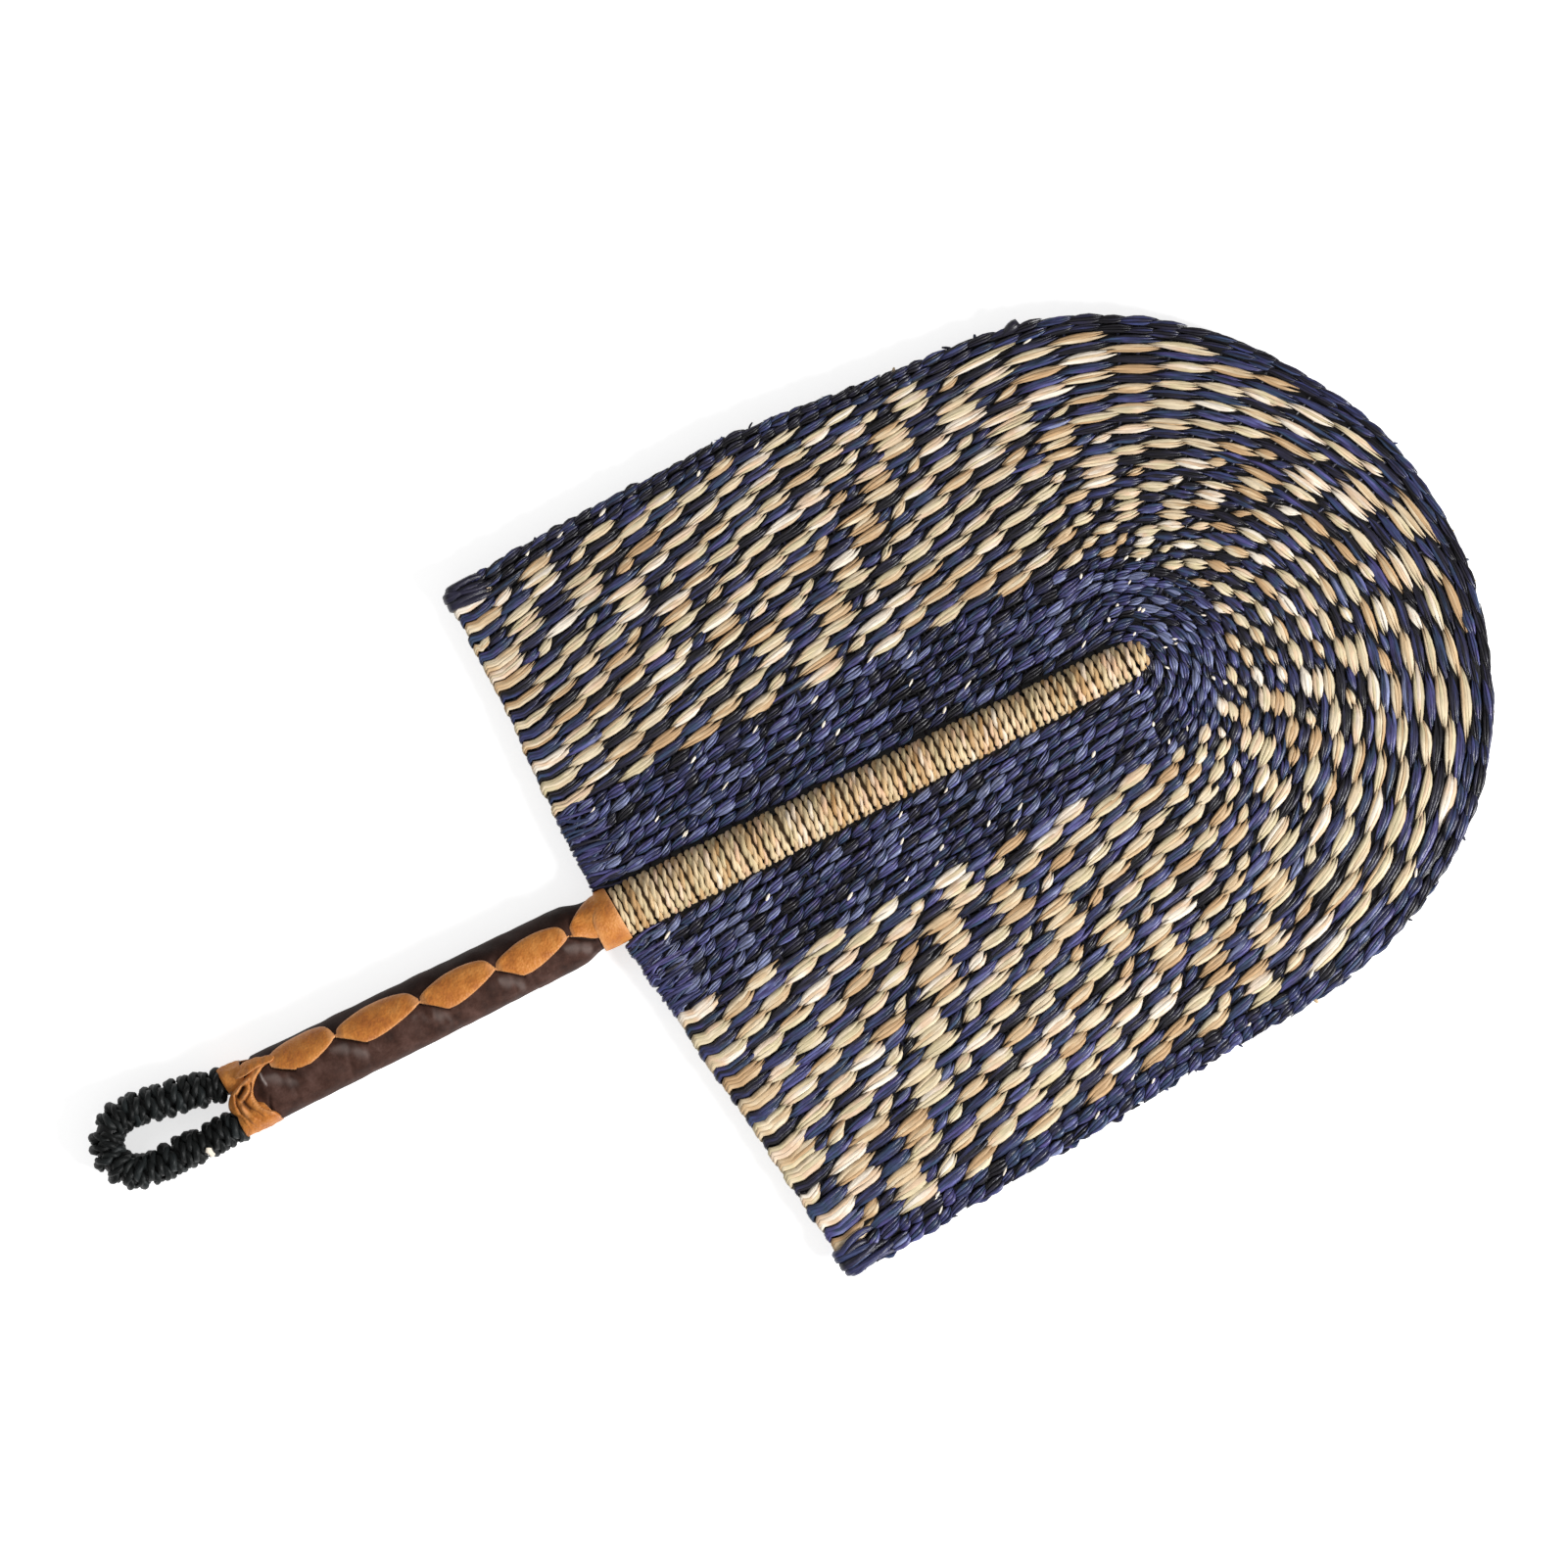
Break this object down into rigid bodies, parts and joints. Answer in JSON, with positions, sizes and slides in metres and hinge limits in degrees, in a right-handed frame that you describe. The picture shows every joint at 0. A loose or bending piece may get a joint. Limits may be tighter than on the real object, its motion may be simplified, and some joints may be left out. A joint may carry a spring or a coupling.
{
  "type": "woven hand fan",
  "caption": "Handwoven straw hand fan with a domed blade of U-shaped twined rows, a bound spine, a leather grip and a wound hanging loop.",
  "frame": {"origin": "middle of the flat face under the grip, on the spine's line", "axes": "+X along the spine from the hanging loop to the blade's tip, +Y to the fan's left seen from the front, +Z out of the front"},
  "size_m": [0.5195, 0.2814, 0.0227],
  "materials": {
    "navy_straw": "indigo dyed twisted straw, fibrous, satin",
    "two_tone_straw": "undyed and indigo dyed straw twined together in a zigzag figure",
    "natural_straw": "undyed two ply straw, fibrous, matte",
    "black_straw": "black dyed twisted straw, satin",
    "dark_leather": "soft dark brown goat leather, creased, semi-gloss",
    "tan_leather": "tan goat leather, smooth, fine grain"
  },
  "bodies": {
    "root": {"weft_row_01": "navy_straw", "weft_row_02": "navy_straw", "weft_row_03": "navy_straw", "weft_row_04": "navy_straw", "weft_row_05": "navy_straw", "weft_row_06": "navy_straw", "weft_row_07": "navy_straw", "weft_row_08": "two_tone_straw", "weft_row_09": "two_tone_straw", "weft_row_10": "two_tone_straw", "weft_row_11": "two_tone_straw", "weft_row_12": "two_tone_straw", "weft_row_13": "two_tone_straw", "weft_row_14": "two_tone_straw", "weft_row_15": "two_tone_straw", "weft_row_16": "two_tone_straw", "weft_row_17": "two_tone_straw", "weft_row_18": "two_tone_straw", "weft_row_19": "two_tone_straw", "weft_row_20": "two_tone_straw", "weft_row_21": "two_tone_straw", "weft_row_22": "two_tone_straw", "weft_row_23": "two_tone_straw", "weft_row_24": "two_tone_straw", "weft_row_25": "two_tone_straw", "weft_row_26": "two_tone_straw", "weft_row_27": "two_tone_straw", "weft_row_28": "two_tone_straw", "weft_row_29": "navy_straw", "weft_row_30": "navy_straw", "warp_bundle": "natural_straw", "spine_winding": "natural_straw", "loop_core": "natural_straw", "loop_winding": "black_straw", "grip_sleeve": "dark_leather", "blade_collar": "tan_leather", "lacing_strip": "tan_leather", "left_leg_cuff": "tan_leather", "right_leg_cuff": "tan_leather", "crossing_strap": "tan_leather"}
  },
  "joints": []
}
